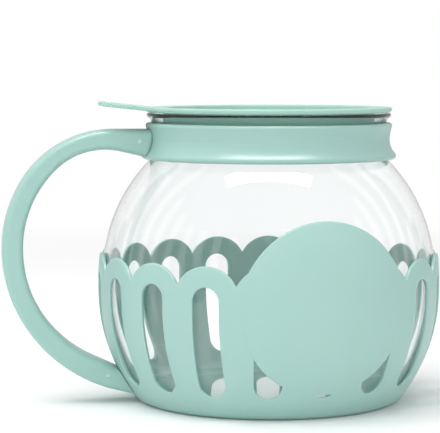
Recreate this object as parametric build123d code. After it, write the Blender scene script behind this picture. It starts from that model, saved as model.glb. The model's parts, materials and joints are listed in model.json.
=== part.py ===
from build123d import *
from math import asin, atan2, cos, degrees, radians, sin, sqrt
import os

# A glass popcorn popper: a blown globe in a looped plastic sleeve, with a split collar round its
# neck, a C-shaped handle pinned to both, and a soft lid with a lifting tab.
# Millimetres. The origin is the middle of the base, on the table. +Z is up and the handle
# points along -X. Most outlines are drawn in the side view, as (distance from the axis, height).

# ---- Glass globe ----
globe_radius = 89.7          # outside, at its widest
globe_height = 62.5          # middle of the straight band round its widest part
globe_band = 7.4             # height of that band: above and below it the globe is a ball
glass_wall = 2.5
foot_corner = 12.0           # rounding between the foot and the side
punt_radius = 50.0           # shallow hollow under the foot
punt_rise = 1.2
neck_radius = 61.5           # outside of the neck
shoulder_round = 8.0         # hollow curve from the globe into the neck
flare_round = 12.0           # hollow curve from the neck out to the lip
neck_length = 8.65           # straight part of the neck, between its two hollow curves
flare_angle = 46.0           # how far the lip leans out
lip_grind = 0.3              # what grinding it flat takes off the round lip

# ---- Fits ----
fit_gap = 0.3                # between curved faces of neighbouring pieces
pin_gap = 0.05               # round a pin, on the radius

# ---- Sleeve ----
sleeve_wall = 1.85
floor_thickness = 3.0
base_corner = 7.0            # outer rounding of the base
inner_corner = 8.0           # inner rounding of the base
foot_groove_radius = 57.0    # groove that leaves a foot ring round the flat underside
foot_groove_width = 3.0
foot_groove_depth = 0.8
loop_count = 18              # loops round the sleeve
loop_radius = 17.6
loop_height = 62.4           # middle of each loop's arc
slot_half_width = 7.1
slot_bottom = 12.6
crown_spare = 1.0            # what the bowl is turned higher than its loops, before they are cut
cut_start = 50.0             # cuts through the wall start this far from the axis
handle_slot_bottom = 30.0    # the slot behind the handle starts above the handle's foot
panel_radius = 44.0          # round panel on the front
panel_height = 58.0
panel_pitches = 5            # loops between the handle and the middle of the panel
panel_raise = 0.8            # how far the panel stands out of the sleeve
panel_step = 2.0             # plain border round the sunk field of the panel
panel_sink = 0.4
panel_spare = 6.0            # what the panel is turned larger than it is cut

# ---- Collar ----
waist_wall = 3.4             # past the outside of the neck, at the waist
waist_drop = 14.0            # the waist, down from the lip
collar_lower_arc = 11.0      # hollow curve from the waist down to the flange
collar_upper_arc = 21.0      # hollow curve from the waist up to the bead
flange_nose = 1.7            # rounding of the flange
flange_drop = 8.7            # middle of that rounding, down from the waist
bead_nose = 1.5
bead_rise = 7.4              # up from the waist
collar_split = 4.0           # gap between the two ends of the band
lug_thickness = 3.0
lug_radius = 3.4             # round end of a lug, about the upper pin

# ---- Handle ----
handle_width = 22.0
handle_wall = 2.4
handle_edge = 2.8            # rounding of the long edges
top_drop = 8.4               # its flat top, down from the lip
crook_reach = 41.1           # first bend, out from the widest ring of the sleeve
crook_run = 49.15            # and on from the end of the flat top
crook_drop = 27.7            # and down from it
back_reach = 45.3            # second bend
back_fall = 10.3             # and down from the widest ring
heel_reach = 7.5             # where the foot straightens, out from the sleeve beside it
heel_height = 7.1
foot_overrun = 22.5          # the foot is drawn this far on into the sleeve, and cut there
root_back = 3.0              # end of the sloping underside, back from the end of the flat top
root_slope = 13.0
root_thickness = 11.5        # at the end of the sloping underside
crook_share = 0.284          # three places along the outer line, and the thickness there
crook_thickness = 9.6
grip_share = 0.512
grip_thickness = 10.8
heel_share = 0.92
heel_thickness = 11.9
boss_radius = 3.2
peg_radius = 1.5
peg_length = 4.0
peg_spare = 0.4              # depth of a socket beyond its peg
tongue_thickness = 6.0       # tongue of the sleeve, inside the foot of the handle
tongue_radius = 2.6          # round end of the tongue, about the lower pin
tongue_slope = 21.0

# ---- Pins ----
pin_radius = 1.25
pin_end = 0.25               # how far a bevelled pin end stands out of the handle
upper_pin_reach = 5.9        # out from the waist of the collar
upper_pin_drop = 0.4         # down from the waist
lower_pin_reach = 7.2        # out from the sleeve beside it
lower_pin_height = 15.4

# ---- Lid ----
lid_cover = 4.7              # how far the flange reaches past the outside of the neck
lid_thickness = 3.1
lid_taper = 0.5              # how much narrower the flange is underneath
lid_edge = 0.8
lid_wall = 2.4
plug_gap = 2.0               # between the plug and the neck of the glass
plug_depth = 18.0
plug_draft = 1.2             # how much narrower the plug is at its foot
plug_corner = 3.5
rib_depths = (8.6, 13.8)     # sealing ribs, down from the flange
rib_root_height = 2.2
rib_tip_height = 0.6
drip_radius = 1.6
drip_rings = ((12, 36.0), (6, 18.0))   # number of holes, and the radius of their ring
tab_width = 38.0
tab_thickness = 2.4
tab_reach = 91.1             # end of the tab, from the axis
tab_cover = 6.2              # how far the tab runs in over the flange
tab_slope = 6.2
tab_corner = 13.0
tab_edge = 0.7
ridge_count = 3              # grip ridges under the tab
ridge_radius = 0.9
ridge_pitch = 4.5
ridge_inset = 6.0            # first ridge from the end, and from each side
ridge_short = 8.7            # how much shorter the first ridge is, between the round corners

# ---- What follows from them ----
loop_pitch = 360.0 / loop_count
panel_turn = 180.0 + panel_pitches * loop_pitch
band_low = (0.0, globe_height - globe_band / 2)     # middles of the two balls of the globe
band_high = (0.0, globe_height + globe_band / 2)
sleeve_inner = fit_gap                      # offsets from the outside of the glass
sleeve_outer = fit_gap + sleeve_wall
panel_outer = sleeve_outer + panel_raise
widest = globe_radius + sleeve_outer
lug_outer = collar_split / 2 + lug_thickness
far = 200.0                                 # longer than anything here
crown_height = loop_height + loop_radius + crown_spare
waist_radius = neck_radius + waist_wall
bend_reach = widest + crook_reach - crook_run   # end of the handle's flat top
handle_half = handle_width / 2
cavity_half = handle_half - handle_wall
lid_radius = neck_radius + lid_cover
to_handle = Rot(0, 0, 180)                  # handle-side pieces are drawn on +X and turned over


def at(reach, height):
    """A point of the side view."""
    return Vector(reach, 0, height)


def on_circle(centre, radius, angle):
    return centre[0] + radius * cos(radians(angle)), centre[1] + radius * sin(radians(angle))


def arc(centre, radius, start, end):
    """An arc of the side view between two angles, in degrees."""
    places = (start, (start + end) / 2, end)
    return ThreePointArc(*(at(*on_circle(centre, radius, place)) for place in places))


def direction(start, end):
    return degrees(atan2(end[1] - start[1], end[0] - start[0]))


def closed(edges):
    """The face inside a run of edges, closed by a straight line if its ends are apart."""
    first = edges[0] @ 0
    last = edges[-1] @ 1
    if (first - last).length > 1e-6:
        edges = edges + [Line(last, first)]
    return make_face(edges)


def backwards(edges):
    """The same line, drawn the other way."""
    flipped = []
    for edge in reversed(edges):
        if edge.geom_type == GeomType.LINE:
            flipped.append(Line(edge @ 1, edge @ 0))
        else:
            flipped.append(ThreePointArc(edge @ 1, edge @ 0.5, edge @ 0))
    return flipped


def turned(edges):
    """A solid of revolution about the upright axis."""
    return revolve(closed(edges), Axis.Z)


def core(edges):
    """What lies inside a line of the side view, all the way round."""
    low = edges[0] @ 0
    high = edges[-1] @ 1
    return turned([Line(at(0, low.Z), low)] + edges + [Line(high, at(0, high.Z))])


# ---- The globe's side line, shared by the glass, the sleeve, the panel and the collar ----

def side_lean(offset, height):
    """How far the side line has leaned over at a height above or below the band."""
    past = height - (band_high[1] if height > globe_height else band_low[1])
    return degrees(asin(past / (globe_radius + offset)))


def side_reach(offset, height):
    """Distance from the axis to the side line at an offset."""
    return (globe_radius + offset) * cos(radians(side_lean(offset, height)))


def side_line(offset, start, end):
    """Two arcs and the band between them, going up from one lean to another."""
    lower = arc(band_low, globe_radius + offset, start, 0)
    upper = arc(band_high, globe_radius + offset, 0, end)
    return [lower, Line(lower @ 1, upper @ 0), upper]


def corner_centre(offset, bottom, corner):
    """Middle of the rounding between a flat bottom and the side line at an offset."""
    height = bottom + corner
    span = globe_radius + offset - corner
    return sqrt(span ** 2 - (height - band_low[1]) ** 2), height


def bowl_line(offset, bottom, corner, top):
    """Bottom corner and side, from the flat bottom up to a height."""
    middle = corner_centre(offset, bottom, corner)
    lean = direction(band_low, middle)
    return [arc(middle, corner, -90, lean)] + side_line(offset, lean, side_lean(offset, top))


lip_round = glass_wall / 2
shoulder_reach = neck_radius + shoulder_round
shoulder_rise = sqrt((globe_radius + shoulder_round) ** 2 - shoulder_reach ** 2)
shoulder_centre = (shoulder_reach, band_high[1] + shoulder_rise)
shoulder_lean = direction(band_high, shoulder_centre)
flare_centre = (neck_radius + flare_round, shoulder_centre[1] + neck_length)
lip_middle = on_circle(flare_centre, flare_round + lip_round, 180 - flare_angle)
lip_height = lip_middle[1] + lip_round - lip_grind
waist_height = lip_height - waist_drop
handle_top = lip_height - top_drop


def neck_line(offset):
    """Shoulder, neck and flare, going up, at an offset from the outside of the glass."""
    foot = arc(shoulder_centre, shoulder_round - offset, 180 + shoulder_lean, 180)
    flare = arc(flare_centre, flare_round - offset, 180, 180 - flare_angle)
    return [foot, Line(foot @ 1, flare @ 0), flare]


def glass_line(offset):
    """The whole line of the glass from the middle of its foot to its lip."""
    bottom = floor_thickness - offset
    punt_arc = (punt_radius ** 2 + punt_rise ** 2) / (2 * punt_rise)
    punt = arc((0, bottom + punt_rise - punt_arc), punt_arc, 90, 90 - degrees(asin(punt_radius / punt_arc)))
    corner = foot_corner + offset
    middle = corner_centre(offset, bottom, corner)
    lean = direction(band_low, middle)
    foot = arc(middle, corner, -90, lean)
    return [punt, Line(punt @ 1, foot @ 0), foot] + side_line(offset, lean, shoulder_lean) + neck_line(offset)


def make_glass():
    lip = arc(lip_middle, lip_round, -flare_angle, 180 - flare_angle)
    glass = turned(glass_line(0) + [lip] + backwards(glass_line(-glass_wall)))
    return glass - Pos(0, 0, lip_height) * ground_block(far)


def ground_block(size):
    """A block that stands on its underside's middle."""
    return Box(size, size, size, align=(Align.CENTER, Align.CENTER, Align.MIN))


# ---- Sleeve ----

def globe_band_shell(inner, outer, bottom, top):
    """What lies between two offsets of the side line, from one height to another."""
    shells = []
    for offset in (outer, inner):
        shells.append(core(side_line(offset, side_lean(offset, bottom), side_lean(offset, top))))
    return shells[0] - shells[1]


def radial_cylinder(radius, height, turn):
    """A cylinder that points out from the axis at a height."""
    cylinder = Cylinder(radius, far, align=(Align.CENTER, Align.CENTER, Align.MIN))
    return Rot(0, 0, turn) * Pos(cut_start, 0, height) * Rot(0, 90, 0) * cylinder


def slot_cutter(bottom, turn):
    """A radial slot with round ends."""
    low = bottom + slot_half_width
    run = loop_height - low
    outline = Plane.YZ * Pos(0, low + run / 2) * SlotCenterToCenter(run, 2 * slot_half_width, 90)
    return Rot(0, 0, turn) * Pos(cut_start, 0, 0) * extrude(outline, far)


def make_bowl():
    """The turned wall and floor, with a loop cut over every slot."""
    outside = bowl_line(sleeve_outer, 0, base_corner, crown_height)
    inside = bowl_line(sleeve_inner, floor_thickness, inner_corner, crown_height)
    bowl = core(outside) - core(inside)
    turns = [180 + place * loop_pitch for place in range(loop_count)]
    loops = [radial_cylinder(loop_radius, loop_height, turn) for turn in turns]
    crown = Cylinder(far, far, align=(Align.CENTER, Align.CENTER, Align.MIN)) - Cylinder(cut_start, 2 * far)
    bowl -= Pos(0, 0, loop_height) * crown - loops
    return bowl - [slot_cutter(handle_slot_bottom if turn == 180 else slot_bottom, turn) for turn in turns]


def make_panel():
    """The round panel, with a border round its sunk field."""
    low = panel_height - panel_radius - panel_spare
    high = panel_height + panel_radius + panel_spare
    panel = globe_band_shell(sleeve_inner, panel_outer, low, high)
    panel &= radial_cylinder(panel_radius, panel_height, panel_turn)
    field = globe_band_shell(panel_outer - panel_sink, panel_outer + panel_spare, low, high)
    return panel - (field & radial_cylinder(panel_radius - panel_step, panel_height, panel_turn))


def make_sleeve():
    groove = Cylinder(foot_groove_radius + foot_groove_width / 2, 2 * foot_groove_depth)
    groove -= Cylinder(foot_groove_radius - foot_groove_width / 2, 2 * foot_groove_depth)
    return make_bowl() + make_panel() + make_tongue() - groove


# ---- Ears: round-ended plates that the pins go through ----

def pin_bar(pin, radius, half_length):
    """A bar across the handle, about the line of a pin."""
    return Pos(pin) * Rot(90, 0, 0) * Cylinder(radius, 2 * half_length)


def ear(pin, radius, half_thickness, length, slope):
    """A plate with a round end about a pin, running back towards the body."""
    strip = Box(length, 2 * half_thickness, 2 * radius, align=(Align.MAX, Align.CENTER, Align.CENTER))
    return pin_bar(pin, radius, half_thickness) + Pos(pin) * Rot(0, -slope, 0) * strip


upper_pin = at(waist_radius + upper_pin_reach, waist_height - upper_pin_drop)
lower_pin = at(side_reach(sleeve_outer, lower_pin_height) + lower_pin_reach, lower_pin_height)
lug_length = upper_pin.X - neck_radius - fit_gap
tongue_length = 2 * lower_pin_reach


def sleeve_core(offset):
    """The whole form of the sleeve at an offset of its side, to trim what comes up to it."""
    corner = base_corner + offset - sleeve_outer
    return core(bowl_line(offset, sleeve_outer - offset, corner, crown_height))


def make_tongue():
    """The plate on the sleeve that the foot of the handle closes over."""
    plate = ear(lower_pin, tongue_radius, tongue_thickness / 2, tongue_length, tongue_slope)
    plate -= sleeve_core(sleeve_inner + sleeve_wall / 2)
    plate -= pin_bar(lower_pin, pin_radius + pin_gap, handle_width)
    return to_handle * plate


# ---- Collar ----

def collar_outer(offset):
    """Outside of the collar from its flange up to its bead, at an offset."""
    lower = (waist_radius + collar_lower_arc, waist_height)
    upper = (waist_radius + collar_upper_arc, waist_height)
    nose_in = sqrt((collar_lower_arc + flange_nose) ** 2 - flange_drop ** 2)
    bead_in = sqrt((collar_upper_arc + bead_nose) ** 2 - bead_rise ** 2)
    nose = (lower[0] - nose_in, waist_height - flange_drop)
    bead = (upper[0] - bead_in, waist_height + bead_rise)
    nose_lean = direction(nose, lower)
    bead_lean = direction(bead, upper)
    return [
        arc(nose, flange_nose + offset, -90, nose_lean),
        arc(lower, collar_lower_arc - offset, 180 + nose_lean, 180),
        arc(upper, collar_upper_arc - offset, 180, 180 + bead_lean),
        arc(bead, bead_nose + offset, bead_lean, 90),
    ]


def make_collar():
    """A turned band with an ear on each side of its split, hollowed to clear the glass."""
    neck = core([arc(band_high, globe_radius + fit_gap, 0, shoulder_lean)] + neck_line(fit_gap))
    band = core(collar_outer(0)) + ear(upper_pin, lug_radius, lug_outer, lug_length, 0)
    band -= neck
    band -= Box(far, collar_split, 2 * far, align=(Align.MIN, Align.CENTER, Align.CENTER))
    band -= pin_bar(upper_pin, pin_radius + pin_gap, handle_width)
    return to_handle * band


# ---- Handle ----

def run_on(line, point):
    """The next arc of a smooth line."""
    return TangentArc(line[-1] @ 1, point, tangent=line[-1] % 1)


def tail(edge, length):
    """A straight stretch on from the end of an edge."""
    return Line(edge @ 1, edge @ 1 + (edge % 1) * length)


def back_line():
    """Outer line of the handle, from the collar over the back to its foot."""
    line = [Line(at(neck_radius, handle_top), at(bend_reach, handle_top))]
    line.append(run_on(line, at(widest + crook_reach, handle_top - crook_drop)))
    line.append(run_on(line, at(widest + back_reach, globe_height - back_fall)))
    line.append(run_on(line, at(side_reach(sleeve_outer, heel_height) + heel_reach, heel_height)))
    return line


def stations():
    """Pairs of points across the handle, outer and inner, at the three measured places."""
    back = Wire(back_line())
    places = ((crook_share, crook_thickness), (grip_share, grip_thickness), (heel_share, heel_thickness))
    pairs = []
    for share, thickness in places:
        outer = back @ share
        along = back % share
        inward = Vector(along.Z, 0, -along.X)
        pairs.append((outer, outer + inward * thickness))
    return pairs


def handle_outline():
    back = back_line()
    root = at(bend_reach - root_back, handle_top - root_thickness)
    lean = Vector(cos(radians(root_slope)), 0, sin(radians(root_slope)))
    front = [Line(root - lean * (root.X - waist_radius), root)]
    for _, inner in stations():
        front.append(run_on(front, inner))
    back.append(tail(back[-1], foot_overrun))
    front.append(tail(front[-1], foot_overrun))
    return closed(back + [Line(back[-1] @ 1, front[-1] @ 1)] + backwards(front))


def make_handle():
    """The two half shells, parted on the middle plane of the handle."""
    outline = handle_outline()
    body = extrude(outline, handle_half, both=True)
    rims = [edge for edge in body.edges() if abs(abs(edge.center().Y) - handle_half) < 1e-3]
    body = fillet(rims, handle_edge)
    body -= [sleeve_core(sleeve_outer + fit_gap), core(collar_outer(fit_gap))]

    cavity = extrude(offset(outline, -handle_wall), cavity_half, both=True)
    wall_gap = fit_gap + handle_wall
    cavity -= [sleeve_core(sleeve_outer + wall_gap), core(collar_outer(wall_gap))]
    cavity += ear(upper_pin, lug_radius + fit_gap, lug_outer + fit_gap, lug_length, 0)
    tongue_half = tongue_thickness / 2 + fit_gap
    cavity += ear(lower_pin, tongue_radius + fit_gap, tongue_half, tongue_length, tongue_slope)
    middles = [(outer + inner) * 0.5 for outer, inner in stations()]
    cavity -= [pin_bar(middle, boss_radius, handle_half) for middle in middles]
    for pin, half in ((upper_pin, lug_outer), (lower_pin, tongue_thickness / 2)):
        cavity -= pin_bar(pin, boss_radius, handle_half) - pin_bar(pin, far, half)
    body -= cavity
    body -= [pin_bar(pin, pin_radius + pin_gap, handle_width) for pin in (upper_pin, lower_pin)]

    pegs = [pin_bar(middle, peg_radius, peg_length) for middle in middles]
    sockets = [pin_bar(middle, peg_radius + pin_gap, peg_length + peg_spare) for middle in middles]
    half_space = Box(2 * far, far, 2 * far, align=(Align.CENTER, Align.MIN, Align.CENTER))
    near_shell = to_handle * ((body & half_space) - sockets)
    far_shell = to_handle * ((body - half_space) + pegs)
    return near_shell, far_shell


def make_pin(pin):
    bar = Cylinder(pin_radius, handle_width + 2 * pin_end)
    bar = chamfer(bar.edges().filter_by(GeomType.CIRCLE), pin_end)
    return to_handle * Pos(pin) * Rot(90, 0, 0) * bar


# ---- Lid ----

def make_lid():
    top = lip_height + lid_thickness
    foot = lip_height - plug_depth
    plug_radius = neck_radius - glass_wall - plug_gap
    foot_radius = plug_radius - plug_draft
    rim = at(lid_radius, top)
    heel = at(foot_radius, foot)
    hollow = at(foot_radius - lid_wall, foot + lid_wall)
    section = make_face(Polyline(
        at(0, foot),
        heel,
        at(plug_radius, lip_height),
        at(lid_radius - lid_taper, lip_height),
        rim,
        at(plug_radius - lid_wall, top),
        hollow,
        at(0, foot + lid_wall),
        close=True,
    ))
    for corner, radius in ((rim, lid_edge), (heel, plug_corner), (hollow, plug_corner)):
        section = fillet(section.vertices().sort_by_distance(corner)[0], radius)
    lid = revolve(section, Axis.Z)

    rib_tip = neck_radius - glass_wall - fit_gap
    rib_root = foot_radius - lid_wall / 2
    for depth in rib_depths:
        rib = Polyline(
            at(rib_root, -rib_root_height / 2),
            at(foot_radius, -rib_root_height / 2),
            at(rib_tip, -rib_tip_height / 2),
            at(rib_tip, rib_tip_height / 2),
            at(foot_radius, rib_root_height / 2),
            at(rib_root, rib_root_height / 2),
            close=True,
        )
        lid += Pos(0, 0, lip_height - depth) * revolve(make_face(rib), Axis.Z)

    for count, ring in drip_rings:
        lid -= PolarLocations(ring, count) * (Pos(0, 0, foot) * Cylinder(drip_radius, 4 * lid_wall))
    return to_handle * (lid + make_tab(top))


def make_tab(top):
    """The lifting tab, drawn flat and tipped up about its root on the lid."""
    root = lid_radius - tab_cover
    length = (tab_reach - root) / cos(radians(tab_slope))
    plan = Pos(length / 2, 0) * Rectangle(length, tab_width)
    plan = fillet(plan.vertices().group_by(Axis.X)[-1], tab_corner)
    tab = extrude(plan, -tab_thickness)
    faces = tab.faces().filter_by(Axis.Z)
    tab = fillet([edge for edge in faces.edges() if edge.center().X > tab_edge], tab_edge)
    for place in range(ridge_count):
        span = tab_width - 2 * ridge_inset - (ridge_short if place == 0 else 0)
        ridge = Rot(90, 0, 0) * Cylinder(ridge_radius, span)
        tab += Pos(length - ridge_inset - place * ridge_pitch, 0, -tab_thickness) * ridge
    return Pos(root, 0, top) * Rot(0, -tab_slope, 0) * tab


near_shell, far_shell = make_handle()
pieces = {
    "glass_carafe": make_glass(),
    "base_sleeve": make_sleeve(),
    "collar_band": make_collar(),
    "handle_near_shell": near_shell,
    "handle_far_shell": far_shell,
    "handle_pin_upper": make_pin(upper_pin),
    "handle_pin_lower": make_pin(lower_pin),
    "lid": make_lid(),
}
os.makedirs("parts", exist_ok=True)
for name, piece in pieces.items():
    export_step(piece, f"parts/{name}.step")
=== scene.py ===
import json
import math

import bmesh
import bpy
from mathutils import Matrix, Vector

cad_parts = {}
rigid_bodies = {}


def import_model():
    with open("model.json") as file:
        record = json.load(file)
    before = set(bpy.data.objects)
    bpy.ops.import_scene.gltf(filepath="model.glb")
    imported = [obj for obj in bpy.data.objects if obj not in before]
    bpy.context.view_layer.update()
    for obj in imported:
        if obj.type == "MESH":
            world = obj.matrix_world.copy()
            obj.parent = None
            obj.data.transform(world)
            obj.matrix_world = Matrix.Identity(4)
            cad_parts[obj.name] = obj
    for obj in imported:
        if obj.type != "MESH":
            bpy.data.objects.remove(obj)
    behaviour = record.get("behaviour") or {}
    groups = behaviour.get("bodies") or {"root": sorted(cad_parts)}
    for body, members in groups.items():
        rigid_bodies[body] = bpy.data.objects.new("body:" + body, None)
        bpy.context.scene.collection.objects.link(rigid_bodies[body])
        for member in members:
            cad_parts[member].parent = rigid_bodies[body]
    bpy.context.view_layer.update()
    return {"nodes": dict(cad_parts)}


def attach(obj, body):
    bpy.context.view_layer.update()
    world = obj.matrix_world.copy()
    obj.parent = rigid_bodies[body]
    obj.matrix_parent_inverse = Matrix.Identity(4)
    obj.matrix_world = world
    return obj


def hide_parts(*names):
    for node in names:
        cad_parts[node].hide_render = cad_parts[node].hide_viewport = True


for leftOver in list(bpy.data.objects):
    bpy.data.objects.remove(leftOver)
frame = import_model()
nodes = frame["nodes"]
mm = 0.001
quarter = math.pi / 2
print("frame loaded:", len(nodes), "nodes")


def fromSrgb(red, green, blue):        # a screen colour out of 255, as Blender's linear colour
    linear = []
    for level in (red, green, blue):
        share = level / 255
        linear.append(share / 12.92 if share <= 0.04045 else ((share + 0.055) / 1.055) ** 2.4)
    return (*linear, 1.0)


def put(tree, kind, wires=None, **settings):        # one node, with its settings and what goes into it
    node = tree.nodes.new(kind)
    for label, value in settings.items():
        setattr(node, label, value)
    for label, value in (wires or {}).items():
        if isinstance(value, bpy.types.NodeSocket):
            tree.links.new(value, node.inputs[label])
        else:
            node.inputs[label].default_value = value
    return node


def work(tree, operation, first, second=0.0, clamp=False):
    node = put(tree, "ShaderNodeMath", {0: first, 1: second}, operation=operation, use_clamp=clamp)
    return node.outputs[0]


def mixColour(tree, share, first, second):
    node = put(tree, "ShaderNodeMix", {0: share, 6: first, 7: second}, data_type="RGBA")
    return node.outputs[2]


def spread(tree, value, low, high, toLow=0.0, toHigh=1.0):        # stretches a value to a new range
    wires = {"Value": value, "From Min": low, "From Max": high, "To Min": toLow, "To Max": toHigh}
    return put(tree, "ShaderNodeMapRange", wires).outputs[0]


def noise(tree, place, scale, detail=2.0, swirl=0.0):        # scales are per metre
    wires = {"Vector": place, "Scale": scale, "Detail": detail, "Distortion": swirl}
    return put(tree, "ShaderNodeTexNoise", wires).outputs[0]


def dot(tree, first, second):
    wires = {0: first, 1: second}
    return put(tree, "ShaderNodeVectorMath", wires, operation="DOT_PRODUCT").outputs["Value"]


def rayIs(tree, *kinds):        # 1 where the ray is one of these kinds
    paths = put(tree, "ShaderNodeLightPath").outputs
    answer = paths[kinds[0]]
    for kind in kinds[1:]:
        answer = work(tree, "ADD", answer, paths[kind], clamp=True)
    return answer


def mixShaders(tree, share, first, second):
    return put(tree, "ShaderNodeMixShader", {0: share, 1: first.outputs[0], 2: second.outputs[0]})


def showSurface(tree, shader):        # takes the plain shader's place at the material's output
    end = next(node for node in tree.nodes if node.type == "OUTPUT_MATERIAL")
    tree.links.new(shader.outputs[0], end.inputs["Surface"])


def startGroup(name, inputs, outputs):
    tree = bpy.data.node_groups.new(name, "ShaderNodeTree")
    for label, kind, value in inputs:
        socket = tree.interface.new_socket(label, in_out="INPUT", socket_type="NodeSocket" + kind)
        if value is not None:
            socket.default_value = value
    for label in outputs:
        tree.interface.new_socket(label, in_out="OUTPUT", socket_type="NodeSocketFloat")
    return tree, tree.nodes.new("NodeGroupInput").outputs, tree.nodes.new("NodeGroupOutput").inputs


# effects that several finishes share
effects = {
    "noiseSpan": (0.15, 0.85),        # where most of a noise's values lie
    "pitShare": 0.5, "flowSwirl": 0.6, "patchScale": 60.0,
    "edgeSpan": (0.995, 0.86), "edgeSamples": 4, "breakScale": 140.0, "breakSpan": (0.35, 0.6, 0.35, 1.0),
    "upSpan": (0.35, 0.95), "speckScale": 420.0, "speckSpan": (0.45, 0.75), "driftScale": 24.0,
    "smearSwirl": 0.8, "smearSpan": (0.4, 0.8),
}


def makeMouldedSkin():        # fine spark texture, slow flow of the colour, and uneven gloss
    inputs = (("Place", "Vector", None), ("Grains", "Float", 1500.0), ("Flow", "Float", 16.0))
    tree, given, result = startGroup("mouldedSkin", inputs, ("Height", "Tone", "Gloss"))
    fine = noise(tree, given["Place"], given["Grains"])
    pits = put(tree, "ShaderNodeTexVoronoi", {"Vector": given["Place"], "Scale": given["Grains"]})
    shallow = work(tree, "MULTIPLY", pits.outputs["Distance"], effects["pitShare"])
    tree.links.new(work(tree, "ADD", fine, shallow), result["Height"])
    slow = noise(tree, given["Place"], given["Flow"], swirl=effects["flowSwirl"])
    tree.links.new(spread(tree, slow, *effects["noiseSpan"]), result["Tone"])
    patch = noise(tree, given["Place"], effects["patchScale"], detail=1.0)
    tree.links.new(spread(tree, patch, *effects["noiseSpan"]), result["Gloss"])
    return tree


def makeEdgeWearAndHighlight():        # picks out edges that hands and shelves polish; the lighter colour put there is also a painted edge highlight
    inputs = (("Place", "Vector", None), ("Width", "Float", 0.0008))
    tree, given, result = startGroup("edgeWearAndHighlight", inputs, ("Mask",))
    soft = put(tree, "ShaderNodeBevel", {"Radius": given["Width"]}, samples=effects["edgeSamples"])
    facing = dot(tree, soft.outputs[0], put(tree, "ShaderNodeNewGeometry").outputs["Normal"])
    broken = noise(tree, given["Place"], effects["breakScale"], detail=4.0)
    edge = spread(tree, facing, *effects["edgeSpan"])
    patchy = spread(tree, broken, *effects["breakSpan"])
    tree.links.new(work(tree, "MULTIPLY", edge, patchy, clamp=True), result["Mask"])
    return tree


def makeSettledDust():        # a faint bloom on what faces up
    inputs = (("Place", "Vector", None), ("Amount", "Float", 0.2))
    tree, given, result = startGroup("settledDust", inputs, ("Mask",))
    shape = put(tree, "ShaderNodeNewGeometry")
    up = put(tree, "ShaderNodeSeparateXYZ", {0: shape.outputs["Normal"]}).outputs["Z"]
    specks = noise(tree, given["Place"], effects["speckScale"], detail=5.0)
    drift = noise(tree, given["Place"], effects["driftScale"])
    broken = work(tree, "MULTIPLY", spread(tree, specks, *effects["speckSpan"]), drift)
    lying = work(tree, "MULTIPLY", spread(tree, up, *effects["upSpan"]), broken, clamp=True)
    tree.links.new(work(tree, "MULTIPLY", lying, given["Amount"], clamp=True), result["Mask"])
    return tree


def makeFingerMarks():        # smears where it is held, for gloss only
    inputs = (("Place", "Vector", None), ("Spread", "Float", 26.0))
    tree, given, result = startGroup("fingerMarks", inputs, ("Mask",))
    smear = noise(tree, given["Place"], given["Spread"], swirl=effects["smearSwirl"])
    tree.links.new(spread(tree, smear, *effects["smearSpan"]), result["Mask"])
    return tree


mouldedSkin = makeMouldedSkin()
edgeWearAndHighlight = makeEdgeWearAndHighlight()
settledDust = makeSettledDust()
fingerMarks = makeFingerMarks()
print("shared effects ready")


def startMaterial(name):
    material = bpy.data.materials.new(name)
    material.use_nodes = True
    tree = material.node_tree
    tree.nodes.clear()
    shader = put(tree, "ShaderNodeBsdfPrincipled")
    put(tree, "ShaderNodeOutputMaterial", {"Surface": shader.outputs[0]})
    return material, tree, shader, put(tree, "ShaderNodeTexCoord").outputs["Object"]


def useGroup(tree, group, place, **values):
    return put(tree, "ShaderNodeGroup", {"Place": place, **values}, node_tree=group).outputs


def bump(tree, shader, height, strength, depth):
    wires = {"Height": height, "Strength": strength, "Distance": depth}
    tree.links.new(put(tree, "ShaderNodeBump", wires).outputs[0], shader.inputs["Normal"])


# moulded plastic: the sleeve's finish, and what the other mouldings change of it
mintPlastic = {
    # the edge colour is a painted highlight along the edges, together with rubbed wear
    "colour": fromSrgb(160, 197, 190), "deep": fromSrgb(157, 195, 187), "edge": fromSrgb(196, 224, 218),
    "edgeShare": 0.45, "edgeWidth": 0.0008,
    "dust": 0.1, "dustColour": fromSrgb(222, 228, 224), "dustRough": 0.4,
    "grains": 1300.0, "flow": 16.0, "grainStrength": 0.05, "grainDepth": 0.00005,
    "roughLow": 0.36, "roughHigh": 0.42, "marks": 0.02, "ior": 1.46,
    "glow": 0.08, "glowDepth": 0.002, "glowTint": (0.9, 1.0, 0.95),
}
# the collar is the sleeve plastic made a little darker: painted shade
collarPlastic = {
    **mintPlastic, "colour": fromSrgb(155, 192, 185), "deep": fromSrgb(152, 190, 182),
    "roughLow": 0.31, "roughHigh": 0.35,
}
handlePlastic = {
    **mintPlastic, "colour": fromSrgb(157, 195, 187), "deep": fromSrgb(154, 193, 184), "flow": 11.0,
    "roughLow": 0.31, "roughHigh": 0.35,
}
pinPlastic = {
    **mintPlastic, "colour": fromSrgb(184, 214, 207), "deep": fromSrgb(178, 209, 202),
    "roughLow": 0.32, "roughHigh": 0.38,
}
lidSilicone = {
    **mintPlastic, "colour": fromSrgb(161, 198, 187), "deep": fromSrgb(158, 196, 184),
    # the lid's lighter edge colour is a painted highlight too, together with rubbed wear
    "edge": fromSrgb(184, 216, 206), "grains": 2600.0, "roughLow": 0.46, "roughHigh": 0.56, "dust": 0.2,
    "ior": 1.41, "glow": 0.15, "glowDepth": 0.003,
}


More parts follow.
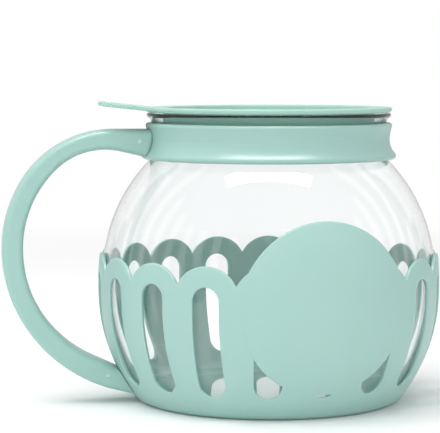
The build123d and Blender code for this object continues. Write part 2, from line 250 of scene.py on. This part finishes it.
def mouldedPlastic(name, finish):
    material, tree, shader, place = startMaterial(name)
    skin = useGroup(tree, mouldedSkin, place, Grains=finish["grains"], Flow=finish["flow"])
    wornAndLitEdges = useGroup(tree, edgeWearAndHighlight, place, Width=finish["edgeWidth"])["Mask"]
    dusty = useGroup(tree, settledDust, place, Amount=finish["dust"])["Mask"]
    marks = useGroup(tree, fingerMarks, place)["Mask"]
    body = mixColour(tree, skin["Tone"], finish["deep"], finish["colour"])
    # edges get the lighter colour: painted highlight and rubbed wear
    edged = mixColour(tree, work(tree, "MULTIPLY", wornAndLitEdges, finish["edgeShare"]), body, finish["edge"])
    tree.links.new(mixColour(tree, dusty, edged, finish["dustColour"]), shader.inputs["Base Color"])
    rough = spread(tree, skin["Gloss"], 0.0, 1.0, finish["roughLow"], finish["roughHigh"])
    greasy = work(tree, "SUBTRACT", rough, work(tree, "MULTIPLY", marks, finish["marks"]))
    matt = work(tree, "MULTIPLY", dusty, finish["dustRough"])
    tree.links.new(work(tree, "ADD", greasy, matt, clamp=True), shader.inputs["Roughness"])
    bump(tree, shader, skin["Height"], finish["grainStrength"], finish["grainDepth"])
    shader.inputs["IOR"].default_value = finish["ior"]
    shader.inputs["Subsurface Weight"].default_value = finish["glow"]
    shader.inputs["Subsurface Radius"].default_value = finish["glowTint"]
    shader.inputs["Subsurface Scale"].default_value = finish["glowDepth"]
    return material


glassLook = {
    "tint": fromSrgb(254, 255, 255), "shade": fromSrgb(247, 251, 250), "ior": 1.47,
    "clean": 0.004, "greasy": 0.04, "dust": 0.3, "markScale": 34.0,
    "rippleScale": 14.0, "rippleDepth": 0.0001, "rippleStrength": 0.03,
}


def blownGlass():
    material, tree, shader, place = startMaterial("clearGlass")
    marks = useGroup(tree, fingerMarks, place, Spread=glassLook["markScale"])["Mask"]
    dusty = useGroup(tree, settledDust, place, Amount=glassLook["dust"])["Mask"]
    film = work(tree, "ADD", marks, dusty, clamp=True)
    rough = spread(tree, film, 0.0, 1.0, glassLook["clean"], glassLook["greasy"])
    tree.links.new(rough, shader.inputs["Roughness"])
    ripple = noise(tree, place, glassLook["rippleScale"], detail=1.0)
    bump(tree, shader, ripple, glassLook["rippleStrength"], glassLook["rippleDepth"])
    shader.inputs["Base Color"].default_value = glassLook["tint"]
    shader.inputs["IOR"].default_value = glassLook["ior"]
    shader.inputs["Metallic"].default_value = 0.0
    shader.inputs["Transmission Weight"].default_value = 1.0
    passing = rayIs(tree, "Is Shadow Ray", "Is Diffuse Ray")        # light passes straight through the wall
    through = put(tree, "ShaderNodeBsdfTransparent", {"Color": glassLook["shade"]})
    showSurface(tree, mixShaders(tree, passing, shader, through))
    return material


finishes = {
    "sleeve": mouldedPlastic("mintSleeve", mintPlastic),
    "collar": mouldedPlastic("mintCollar", collarPlastic),
    "handle": mouldedPlastic("mintHandle", handlePlastic),
    "pin": mouldedPlastic("palePins", pinPlastic),
    "lid": mouldedPlastic("mintSilicone", lidSilicone),
    "glass": blownGlass(),
}
print("finishes ready:", len(finishes))


def between(first, last, steps):        # evenly spaced values, without the first one
    return [first + (last - first) * step / steps for step in range(1, steps + 1)]


def bow(centre, radius, start, end, steps):        # points of an arc, without its first one
    across, up = centre
    turns = between(start, end, steps)
    return [(across + radius * math.cos(turn), up + radius * math.sin(turn)) for turn in turns]


def meshObject(name, points, faces):
    mesh = bpy.data.meshes.new(name)
    mesh.from_pydata(points, [], faces)
    piece = bpy.data.objects.new(name, mesh)
    bpy.context.scene.collection.objects.link(piece)
    return piece


def ringFaces(rings, around):        # points 0 and 1 are the poles that close the first and last ring
    faces = []
    last = 2 + (rings - 1) * around
    for step in range(around):
        after = (step + 1) % around
        faces.append((0, 2 + after, 2 + step))
        faces.append((1, last + step, last + after))
        for ring in range(rings - 1):
            near = 2 + ring * around
            faces.append((near + step, near + after, near + around + after, near + around + step))
    return faces


def lathe(name, section, around):        # turns a closed section that starts and ends on the axis
    points = [Vector((0, 0, section[0][1])), Vector((0, 0, section[-1][1]))]
    for across, up in section[1:-1]:
        for step in range(around):
            turn = math.tau * step / around
            points.append(Vector((across * math.cos(turn), across * math.sin(turn), up)))
    return meshObject(name, points, ringFaces(len(section) - 2, around))


def plainMesh(piece):        # the piece with its modifiers made final
    graph = bpy.context.evaluated_depsgraph_get()
    mesh = bpy.data.meshes.new_from_object(piece.evaluated_get(graph))
    piece.modifiers.clear()
    piece.data = mesh
    return piece


def softenEdges(piece, width):
    bevel = piece.modifiers.new("softEdge", "BEVEL")
    bevel.width = width
    bevel.segments = 3
    bevel.limit_method = "ANGLE"
    bevel.angle_limit = math.radians(40)
    bevel.miter_outer = "MITER_ARC"
    return plainMesh(piece)


def ringTree(name, special):        # Geometry Nodes: a tile all the way round, perhaps with another one first
    tree = bpy.data.node_groups.new(name, "GeometryNodeTree")
    sockets = [("Tile", "Geometry"), ("Copies", "Int"), ("Start", "Float"), ("Weld", "Float")]
    sockets.append(("Finish", "Material"))
    if special:
        sockets.append(("First tile", "Object"))
    for label, kind in sockets:
        tree.interface.new_socket(label, in_out="INPUT", socket_type="NodeSocket" + kind)
    tree.interface.new_socket("Ring", in_out="OUTPUT", socket_type="NodeSocketGeometry")
    given = tree.nodes.new("NodeGroupInput").outputs
    result = tree.nodes.new("NodeGroupOutput").inputs
    spots = put(tree, "GeometryNodePoints", {"Count": given["Copies"]}).outputs[0]
    number = put(tree, "GeometryNodeInputIndex").outputs[0]
    pitch = work(tree, "DIVIDE", math.tau, given["Copies"])
    turn = work(tree, "ADD", work(tree, "MULTIPLY", number, pitch), given["Start"])
    facing = put(tree, "ShaderNodeCombineXYZ", {"Z": turn}).outputs[0]
    joined = tree.nodes.new("GeometryNodeJoinGeometry")
    wires = {"Points": spots, "Instance": given["Tile"], "Rotation": facing}
    placed = put(tree, "GeometryNodeInstanceOnPoints", wires)
    tree.links.new(placed.outputs[0], joined.inputs[0])
    if special:
        same = put(tree, "FunctionNodeCompare", {2: number, 3: 0}, data_type="INT", operation="EQUAL")
        first = same.outputs[0]
        others = put(tree, "FunctionNodeBooleanMath", {0: first}, operation="NOT").outputs[0]
        tree.links.new(others, placed.inputs["Selection"])
        other = put(tree, "GeometryNodeObjectInfo", {"Object": given["First tile"]}).outputs["Geometry"]
        wires = {"Points": spots, "Selection": first, "Instance": other, "Rotation": facing}
        tree.links.new(put(tree, "GeometryNodeInstanceOnPoints", wires).outputs[0], joined.inputs[0])
    solid = put(tree, "GeometryNodeRealizeInstances", {0: joined.outputs[0]}).outputs[0]
    wires = {"Geometry": solid, "Distance": given["Weld"]}
    welded = put(tree, "GeometryNodeMergeByDistance", wires).outputs[0]
    smooth = put(tree, "GeometryNodeSetShadeSmooth", {"Geometry": welded, "Shade Smooth": True}).outputs[0]
    finished = put(tree, "GeometryNodeSetMaterial", {"Geometry": smooth, "Material": given["Finish"]})
    tree.links.new(finished.outputs[0], result["Ring"])
    return tree


def repeatRound(piece, tree, values):        # the tree's named inputs are set by their sockets' identifiers
    ring = piece.modifiers.new(tree.name, "NODES")
    ring.node_group = tree
    for item in tree.interface.items_tree:
        if item.item_type == "SOCKET" and item.in_out == "INPUT" and item.name in values:
            ring[item.identifier] = values[item.name]
    return plainMesh(piece)


# the globe, whose side the sleeve and its panel follow
globe = {
    "radius": 89.7 * mm,        # outside of the glass at its widest
    "bandLow": 58.8 * mm,       # ends of the straight band between the two balls of the globe
    "bandHigh": 66.2 * mm,
    "wall": 2.5 * mm, "foot": 3 * mm, "footCorner": 12 * mm, "puntRadius": 50 * mm, "puntRise": 1.2 * mm,
    "neck": 61.5 * mm, "shoulderRound": 8 * mm, "flareRound": 12 * mm, "neckLength": 8.65 * mm,
    "flareTurn": math.radians(46), "grind": 0.3 * mm, "around": 288,
    "steps": {"punt": 10, "corner": 12, "belly": 20, "top": 26, "shoulder": 8, "flare": 10, "lip": 12},
}


def reachAt(offset, height):        # distance from the axis to the side, a little outside the glass
    past = max(height - globe["bandHigh"], 0) + min(height - globe["bandLow"], 0)
    return math.sqrt((globe["radius"] + offset) ** 2 - past ** 2)


def onSide(offset, across, height):        # a point over the flat pattern of a tile that faces +X
    reach = reachAt(offset, height)
    return Vector((math.sqrt(reach ** 2 - across ** 2), across, height))


def glassLine(offset):        # from the middle of the foot up to the lip, and the centre of the lip's flare
    steps = globe["steps"]
    bottom = globe["foot"] - offset
    arch = (globe["puntRadius"] ** 2 + globe["puntRise"] ** 2) / (2 * globe["puntRise"])
    middle = bottom + globe["puntRise"] - arch
    edge = quarter - math.asin(globe["puntRadius"] / arch)
    line = [(0, middle + arch)] + bow((0, middle), arch, quarter, edge, steps["punt"])
    corner = globe["footCorner"] + offset
    rise = globe["foot"] + globe["footCorner"] - globe["bandLow"]
    reach = math.sqrt((globe["radius"] - globe["footCorner"]) ** 2 - rise ** 2)
    lean = math.atan2(rise, reach)
    line.append((reach, bottom))
    line += bow((reach, bottom + corner), corner, -quarter, lean, steps["corner"])
    line += bow((0, globe["bandLow"]), globe["radius"] + offset, lean, 0, steps["belly"])
    shoulder = globe["neck"] + globe["shoulderRound"]
    climb = math.sqrt((globe["radius"] + globe["shoulderRound"]) ** 2 - shoulder ** 2)
    bend = math.atan2(climb, shoulder)
    line += bow((0, globe["bandHigh"]), globe["radius"] + offset, 0, bend, steps["top"])
    hollow = (shoulder, globe["bandHigh"] + climb)
    line += bow(hollow, globe["shoulderRound"] - offset, math.pi + bend, math.pi, steps["shoulder"])
    flare = (globe["neck"] + globe["flareRound"], hollow[1] + globe["neckLength"])
    end = math.pi - globe["flareTurn"]
    return line + bow(flare, globe["flareRound"] - offset, math.pi, end, steps["flare"]), flare


def makeGlobe():
    outside, flare = glassLine(0)
    inside, _ = glassLine(-globe["wall"])
    half = globe["wall"] / 2
    lean = math.pi - globe["flareTurn"]
    reach = globe["flareRound"] + half
    middle = (flare[0] + reach * math.cos(lean), flare[1] + reach * math.sin(lean))
    lip = bow(middle, half, -globe["flareTurn"], lean, globe["steps"]["lip"])[:-1]
    ground = middle[1] + half - globe["grind"]        # the lip is ground flat
    lip = [(across, min(up, ground)) for across, up in lip]
    return lathe("blown_globe", outside + lip + inside[::-1], globe["around"])


globePiece = makeGlobe()
globePiece.data.materials.append(finishes["glass"])
globePiece.data.shade_smooth()
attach(globePiece, "popper")
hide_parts("glass_carafe")
print("blown globe:", len(globePiece.data.polygons), "faces")


sleeve = {
    "loops": 18, "inner": 0.3 * mm, "outer": 2.15 * mm,        # both faces are offsets from the glass
    "loopRadius": 17.6 * mm, "loopHeight": 62.4 * mm,
    "slotHalf": 7.1 * mm, "slotBottom": 12.6 * mm, "handleSlotBottom": 30 * mm, "slotBend": math.radians(50),
    "baseTop": 8 * mm,          # the tile's pattern starts here, over the turned base
    "outerCorner": 7 * mm, "innerCorner": 8 * mm, "floor": 3 * mm,
    "grooveRadius": 57 * mm, "grooveHalf": 1.5 * mm, "grooveDepth": 0.8 * mm, "grooveSlope": 1.3 * mm,
    "baseRings": (46 * mm, 36 * mm, 24 * mm, 12 * mm, 4 * mm),
    "softEdge": 0.5 * mm, "weld": 0.02 * mm,
    "across": 4, "footSteps": 5, "sideSteps": (5, 4, 5, 3), "crownSteps": 11, "cornerSteps": 7,
}
halfTile = math.pi / sleeve["loops"]


def tileBorder(offset):        # outer edge of half a tile, from under the slot to the top of the loop
    middle = sleeve["loopHeight"]
    notch = middle
    for _ in range(12):        # closes in on where the loop's arc meets the next tile
        side = reachAt(offset, notch) * math.sin(halfTile)
        notch = middle + math.sqrt(sleeve["loopRadius"] ** 2 - side ** 2)
    slots = [sleeve[slot] + sleeve["slotHalf"] for slot in ("slotBottom", "handleSlotBottom")]
    heights = [sleeve["baseTop"]]
    for end, steps in zip(slots + [middle, notch], sleeve["sideSteps"]):
        heights += between(heights[-1], end, steps)
    border = []
    for turn in [0] + between(0, halfTile, sleeve["footSteps"])[:-1]:
        border.append((reachAt(offset, heights[0]) * math.sin(turn), heights[0]))
    border += [(reachAt(offset, height) * math.sin(halfTile), height) for height in heights]
    start = math.atan2(notch - middle, border[-1][0])
    return border + bow((0, middle), sleeve["loopRadius"], start, quarter, sleeve["crownSteps"])


def slotEdge(border, slotBottom):        # a point on the slot's edge for each point of the border
    half = sleeve["slotHalf"]
    low = slotBottom + half
    middle = sleeve["loopHeight"]
    base = sleeve["baseTop"]
    edge = []
    for place, (across, height) in enumerate(border):
        if place <= sleeve["footSteps"]:
            turn = (quarter - sleeve["slotBend"]) * place / sleeve["footSteps"] - quarter
        elif height < low:
            turn = sleeve["slotBend"] * ((height - base) / (low - base) - 1)
        elif height <= middle:
            edge.append((half, height))
            continue
        else:
            turn = math.atan2(height - middle, across)
        centre = low if height < low else middle
        edge.append((half * math.cos(turn), centre + half * math.sin(turn)))
    return edge


def baseRows(outside):        # (distance from the axis, height) down the corner and in to the middle
    offset, bottom, corner = sleeve["outer"], 0, sleeve["outerCorner"]
    if not outside:
        offset, bottom, corner = sleeve["inner"], sleeve["floor"], sleeve["innerCorner"]
    span = globe["radius"] + offset - corner
    rise = bottom + corner - globe["bandLow"]
    centre = math.sqrt(span ** 2 - rise ** 2)
    lean = math.atan2(rise, centre)
    rows = [(centre + corner * math.cos(lean), bottom + corner + corner * math.sin(lean))]
    rows += bow((centre, bottom + corner), corner, lean, -quarter, sleeve["cornerSteps"])
    if outside:
        half, slope, depth = sleeve["grooveHalf"], sleeve["grooveSlope"], sleeve["grooveDepth"]
        for side, height in ((half, 0), (half - slope, depth), (slope - half, depth), (-half, 0)):
            rows.append((sleeve["grooveRadius"] + side, height))
    return rows + [(reach, bottom) for reach in sleeve["baseRings"]]


def turned(face, keep):
    return face if keep else tuple(reversed(face))


def sleeveTile(name, slotBottom):        # one loop and its slot, with its slice of the base
    points = []
    faces = []
    steps = sleeve["across"]
    foot = sleeve["footSteps"]
    for mirror in (1, -1):
        sheets = []
        for outside in (True, False):
            offset = sleeve["outer"] if outside else sleeve["inner"]
            border = tileBorder(offset)
            sheet = []
            for far, near in zip(border, slotEdge(border, slotBottom)):
                row = []
                for step in range(steps + 1):
                    share = step / steps
                    across, height = (start + (end - start) * share for start, end in zip(near, far))
                    row.append(len(points))
                    points.append(onSide(offset, across * mirror, height))
                sheet.append(row)
            rows = [[line[-1] for line in sheet[:foot + 1]]]        # under the pattern, the turned base
            turns = [math.atan2(points[place].y, points[place].x) for place in rows[0]]
            for reach, height in baseRows(outside):
                rows.append(list(range(len(points), len(points) + len(turns))))
                points += [Vector((reach * math.cos(turn), reach * math.sin(turn), height)) for turn in turns]
            pole = len(points)
            points.append(Vector((0, 0, points[-1].z)))
            quads = [(a[k], a[k + 1], b[k + 1], b[k]) for a, b in zip(sheet, sheet[1:]) for k in range(steps)]
            quads += [(a[k + 1], a[k], b[k], b[k + 1]) for a, b in zip(rows, rows[1:]) for k in range(foot)]
            quads += [(rows[-1][k + 1], rows[-1][k], pole) for k in range(foot)]
            faces += [turned(quad, (mirror == 1) == outside) for quad in quads]
            sheets.append(sheet)
        outer, inner = sheets
        top = len(outer) - 1
        for a in range(top):        # the wall round the slot
            wall = (outer[a][0], outer[a + 1][0], inner[a + 1][0], inner[a][0])
            faces.append(turned(wall, mirror == 1))
        for a in range(top - sleeve["crownSteps"], top):        # the wall over the loop
            wall = (outer[a + 1][-1], outer[a][-1], inner[a][-1], inner[a + 1][-1])
            faces.append(turned(wall, mirror == 1))
    return meshObject(name, points, faces)


def makeSleeve():
    handleTile = sleeveTile("handleTile", sleeve["handleSlotBottom"])        # its slot clears the handle
    shell = sleeveTile("looped_sleeve", sleeve["slotBottom"])
    values = {"Copies": sleeve["loops"], "Start": math.pi, "Weld": sleeve["weld"]}
    values.update({"First tile": handleTile, "Finish": finishes["sleeve"]})
    repeatRound(shell, ringTree("ringOfLoops", True), values)
    bpy.data.objects.remove(handleTile)
    return softenEdges(shell, sleeve["softEdge"])


panel = {
    "radius": 44 * mm, "height": 58 * mm, "turn": math.radians(280), "blend": 14 * mm,
    "inner": 0.35 * mm, "outer": 2.55 * mm, "rim": 2.22 * mm, "soft": 0.3 * mm, "chamfer": 0.3 * mm,
    "around": 144, "rings": 22, "rimSteps": 4,
}


def panelProfile():        # (distance from the panel's middle, offset from the glass), front to back
    edge = panel["radius"]
    soft = panel["soft"]
    profile = []
    for ring in range(1, panel["rings"] + 1):        # its face dies away into the loops round it
        reach = (edge - soft) * ring / panel["rings"]
        share = max(0, (reach - edge + soft) / panel["blend"] + 1)
        fall = 0.5 - 0.5 * math.cos(math.pi * share)
        profile.append((reach, panel["outer"] + (panel["rim"] - panel["outer"]) * fall))
    for lean in between(0, quarter, panel["rimSteps"]):
        profile.append((edge - soft + soft * math.sin(lean), panel["rim"] - soft + soft * math.cos(lean)))
    profile.append((edge, panel["inner"] + panel["chamfer"]))
    profile.append((edge - panel["chamfer"], panel["inner"]))
    profile += [(edge * ring / panel["rings"], panel["inner"]) for ring in range(panel["rings"] - 1, 0, -1)]
    return profile


def makePanel():
    rings = panelProfile()
    count = panel["around"]
    points = [onSide(rings[0][1], 0, panel["height"]), onSide(rings[-1][1], 0, panel["height"])]
    for reach, offset in rings:
        for step in range(count):
            turn = math.tau * step / count
            points.append(onSide(offset, reach * math.cos(turn), panel["height"] + reach * math.sin(turn)))
    faces = [(face[0], *face[:0:-1]) for face in ringFaces(len(rings), count)]        # facing outward
    piece = meshObject("round_panel", points, faces)
    piece.data.transform(Matrix.Rotation(panel["turn"], 4, "Z"))
    piece.data.materials.append(finishes["sleeve"])
    return piece


sleeveShell = makeSleeve()
panelPiece = makePanel()
for part in (sleeveShell, panelPiece):
    part.data.shade_smooth()
    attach(part, "popper")
    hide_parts("base_sleeve")
print("looped sleeve:", len(sleeveShell.data.polygons), "faces")
print("round panel:", len(panelPiece.data.polygons), "faces")


lid = {
    "lip": 154 * mm, "seat": 0.45 * mm,        # the flange's underside is this far over the lip
    "thick": 3.1 * mm, "radius": 66.2 * mm, "taper": 0.5 * mm, "under": 1.6 * mm, "edge": 0.8 * mm,
    "plug": 57 * mm, "foot": 55.8 * mm, "depth": 18 * mm, "wall": 2.4 * mm, "corner": 3.5 * mm,
    "neckCorner": 0.8 * mm, "softEdge": 0.3 * mm,
    "ribs": (13.8 * mm, 8.6 * mm), "ribTip": 58.7 * mm, "ribRoot": 1.1 * mm, "ribEnd": 0.3 * mm,
    "drips": ((12, 36 * mm), (6, 18 * mm)),        # how many holes, and how far out
    "dripRadius": 1.6 * mm, "dripAround": 24,
    "tabRoot": 60 * mm, "tabReach": 91.1 * mm, "tabHalf": 19 * mm, "tabThick": 2.4 * mm,
    "tabCorner": 13 * mm, "tabEdge": 0.7 * mm, "tabSlope": math.radians(6.2),
    "around": 180, "neckSteps": 3, "edgeSteps": 4, "cornerSteps": 6, "tabSteps": 10,
}


def softLine(corners):        # a closed outline with rounded corners, from (across, up, rounding, steps)
    line = []
    for place, (across, up, rounding, steps) in enumerate(corners):
        here = Vector((across, up))
        if not rounding:
            line.append(here)
            continue
        before = (Vector(corners[place - 1][:2]) - here).normalized()
        after = (Vector(corners[(place + 1) % len(corners)][:2]) - here).normalized()
        half = before.angle(after) / 2
        middle = here + (before + after).normalized() * rounding / math.sin(half)
        first = here + before * rounding / math.tan(half) - middle
        last = here + after * rounding / math.tan(half) - middle
        turn = first.angle_signed(last)
        for step in range(steps + 1):
            lean = -turn * step / steps
            cosine, sine = math.cos(lean), math.sin(lean)
            swung = (first.x * cosine - first.y * sine, first.x * sine + first.y * cosine)
            line.append(middle + Vector(swung))
    return line


def lidSection():
    top = lid["lip"] + lid["thick"]
    under = lid["lip"] + lid["seat"]
    foot = lid["lip"] - lid["depth"]
    corners = [(0, foot, 0, 0), (lid["foot"], foot, lid["corner"], lid["cornerSteps"])]
    for depth in lid["ribs"]:        # thin ribs that seal against the neck
        middle = lid["lip"] - depth
        wall = lid["foot"] + (lid["plug"] - lid["foot"]) * (middle - foot) / lid["depth"]
        corners.append((wall, middle - lid["ribRoot"], 0, 0))
        corners.append((lid["ribTip"], middle - lid["ribEnd"], 0, 0))
        corners.append((lid["ribTip"], middle + lid["ribEnd"], 0, 0))
        corners.append((wall, middle + lid["ribRoot"], 0, 0))
    corners.append((lid["plug"], under, lid["neckCorner"], lid["neckSteps"]))
    corners.append((lid["radius"] - lid["taper"], under, lid["under"], lid["edgeSteps"]))
    corners.append((lid["radius"], top, lid["edge"], lid["edgeSteps"]))
    corners.append((lid["plug"] - lid["wall"], top, lid["edge"], lid["edgeSteps"]))
    corners.append((lid["foot"] - lid["wall"], foot + lid["wall"], lid["corner"], lid["cornerSteps"]))
    return softLine(corners + [(0, foot + lid["wall"], 0, 0)])


def makeTab():        # a round-cornered slab, drawn flat towards -X and tipped up about its root
    length = (lid["tabReach"] - lid["tabRoot"]) / math.cos(lid["tabSlope"])
    edge = lid["tabEdge"]
    under = edge - lid["tabThick"]
    soft = between(0, quarter, lid["edgeSteps"])
    levels = [(edge, 0.0)] + [(edge - edge * math.sin(turn), edge * math.cos(turn) - edge) for turn in soft]
    levels += [(edge - edge * math.cos(turn), under - edge * math.sin(turn)) for turn in [0] + soft]
    points = []
    for inset, level in levels:
        half = lid["tabHalf"] - inset
        end = length - inset
        softly = (lid["tabCorner"] - inset, lid["tabSteps"])
        corners = [(0, -half, 0, 0), (end, -half, *softly), (end, half, *softly), (0, half, 0, 0)]
        points += [Vector((-x, y, level)) for x, y in softLine(corners)]
    count = len(points) // len(levels)
    faces = [tuple(range(count)), tuple(reversed(range(len(points) - count, len(points))))]
    for ring in range(len(levels) - 1):
        near = ring * count
        for step in range(count):
            after = (step + 1) % count
            faces.append((near + after, near + step, near + count + step, near + count + after))
    piece = meshObject("lid_tab", points, faces)
    root = Matrix.Translation((-lid["tabRoot"], 0, lid["lip"] + lid["thick"]))
    piece.data.transform(root @ Matrix.Rotation(lid["tabSlope"], 4, "Y"))
    return piece


def faceOutward(piece):
    shape = bmesh.new()
    shape.from_mesh(piece.data)
    bmesh.ops.recalc_face_normals(shape, faces=shape.faces)
    shape.to_mesh(piece.data)
    shape.free()


def combine(piece, other, operation):        # joins or cuts, and drops the other piece
    step = piece.modifiers.new(operation.lower(), "BOOLEAN")
    step.operation = operation
    step.solver = "EXACT"
    step.object = other
    plainMesh(piece)
    bpy.data.objects.remove(other)


def makeLid():
    moulding = lathe("lid_moulding", lidSection(), lid["around"])
    tab = makeTab()
    faceOutward(moulding)
    faceOutward(tab)
    combine(moulding, tab, "UNION")
    dripTree = ringTree("ringOfDrips", False)
    depth = 4 * lid["wall"]        # well through the floor of the cup
    for count, reach in lid["drips"]:
        middle = (reach, 0, lid["lip"] - lid["depth"])
        bpy.ops.mesh.primitive_cylinder_add(vertices=lid["dripAround"], radius=lid["dripRadius"], depth=depth,
                                            location=middle)
        drip = bpy.context.object
        drip.data.transform(drip.matrix_world)
        drip.matrix_world = Matrix.Identity(4)
        values = {"Copies": count, "Start": 0.0, "Weld": 0.0, "Finish": finishes["lid"]}
        combine(moulding, repeatRound(drip, dripTree, values), "DIFFERENCE")
    moulding.data.materials.clear()
    moulding.data.materials.append(finishes["lid"])
    return softenEdges(moulding, lid["softEdge"])


lidPiece = makeLid()
lidPiece.data.shade_smooth()
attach(lidPiece, "lid")
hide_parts("lid")
print("soft lid:", len(lidPiece.data.polygons), "faces")


# the solids that show as they are, and the finish that each one gets
carried = {
    "collar_band": "collar", "handle_near_shell": "handle", "handle_far_shell": "handle",
    "handle_pin_upper": "pin", "handle_pin_lower": "pin",
}
for name, finish in carried.items():
    slots = nodes[name].data.materials
    slots.clear()
    slots.append(finishes[finish])
print("carried-over nodes finished:", len(carried))


stage = {
    "floorSize": 6.0, "floorColour": fromSrgb(251, 251, 251), "floorRough": 0.6, "floorGloss": 0.15,
    "clearSpan": (0.45, 1.1),        # metres out, over which the floor fades into the white behind it
    "skyLight": 0.54, "white": (1.0, 1.0, 1.0, 1.0),
    "reflected": 0.9, "behind": (0.17, 0.98, 0.08), "behindSpan": (0.35, 0.95), "rearShade": 0.7,
}


def makeFloor():
    half = stage["floorSize"] / 2
    corners = [(-half, -half, 0), (half, -half, 0), (half, half, 0), (-half, half, 0)]
    floor = meshObject("paleFloor", corners, [(0, 1, 2, 3)])
    material, tree, shader, place = startMaterial("paleFloor")
    shader.inputs["Base Color"].default_value = stage["floorColour"]
    shader.inputs["Roughness"].default_value = stage["floorRough"]
    shader.inputs["Specular IOR Level"].default_value = stage["floorGloss"]
    away = put(tree, "ShaderNodeVectorMath", {0: place}, operation="LENGTH").outputs["Value"]
    fade = spread(tree, away, *stage["clearSpan"])
    white = put(tree, "ShaderNodeEmission", {"Color": stage["white"], "Strength": 1.0})
    share = work(tree, "MULTIPLY", fade, rayIs(tree, "Is Camera Ray", "Is Transmission Ray"))
    showSurface(tree, mixShaders(tree, share, shader, white))
    floor.data.materials.append(material)


def makeSky():        # soft light for the scene, plain white to look at, and a little darker in reflections
    world = bpy.data.worlds.new("studio")
    bpy.context.scene.world = world
    world.use_nodes = True
    tree = world.node_tree
    tree.nodes.clear()
    looking = put(tree, "ShaderNodeTexCoord").outputs["Generated"]
    shade = spread(tree, dot(tree, looking, stage["behind"]), *stage["behindSpan"], 1.0, stage["rearShade"])
    dim = work(tree, "MULTIPLY", shade, stage["reflected"])
    lit = put(tree, "ShaderNodeBackground", {"Color": stage["white"], "Strength": stage["skyLight"]})
    mirrored = put(tree, "ShaderNodeBackground", {"Color": stage["white"], "Strength": dim})
    plain = put(tree, "ShaderNodeBackground", {"Color": stage["white"], "Strength": 1.0})
    glossy = mixShaders(tree, rayIs(tree, "Is Glossy Ray"), lit, mirrored)
    mixed = mixShaders(tree, rayIs(tree, "Is Camera Ray", "Is Transmission Ray"), glossy, plain)
    put(tree, "ShaderNodeOutputWorld", {"Surface": mixed.outputs[0]})


lampAim = Vector((0, 0, 0.08))
lamps = {        # soft boxes; the one that lights nothing shows only in reflections
    "key": {"place": (-0.75, -0.75, 0.85), "size": (1.1, 0.9), "power": 2.2, "lights": True},
    "fill": {"place": (0.8, -0.8, 0.6), "size": (1.0, 1.0), "power": 2.0, "lights": True},
    "low": {"place": (-0.2, -1.2, 0.25), "size": (1.2, 0.3), "power": 1.8, "lights": True},
    "top": {"place": (-0.35, -0.05, 1.15), "size": (1.3, 1.1), "power": 12.0, "lights": True},
    "shine": {"place": (-0.035, -0.2, 0.75), "size": (0.6, 0.12), "power": 6.0, "lights": False},
}


def makeLamps():
    for name, lamp in lamps.items():
        light = bpy.data.lights.new(name, "AREA")
        light.shape = "RECTANGLE"
        light.size, light.size_y = lamp["size"]
        light.energy = lamp["power"]
        holder = bpy.data.objects.new(name, light)
        holder.location = lamp["place"]
        holder.rotation_euler = (holder.location - lampAim).to_track_quat("Z", "Y").to_euler()
        holder.visible_diffuse = lamp["lights"]
        holder.visible_glossy = not lamp["lights"]
        holder.visible_transmission = False
        bpy.context.scene.collection.objects.link(holder)


photoCamera = {
    "place": (-0.17186, -0.97467, 0.1778), "tilt": math.radians(85.393), "turn": math.radians(-8.485),
    "lens": 150.4, "sensor": 36, "nearest": 0.01,
}


def makeCamera():
    lens = bpy.data.cameras.new("photoCamera")
    lens.sensor_width = photoCamera["sensor"]
    lens.lens = photoCamera["lens"]
    lens.clip_start = photoCamera["nearest"]
    camera = bpy.data.objects.new("photoCamera", lens)
    camera.location = photoCamera["place"]
    camera.rotation_euler = (photoCamera["tilt"], 0, photoCamera["turn"])
    bpy.context.scene.collection.objects.link(camera)
    bpy.context.scene.camera = camera


makeFloor()
makeSky()
makeLamps()
makeCamera()
bpy.context.scene.view_settings.view_transform = "Standard"
print("stage ready")
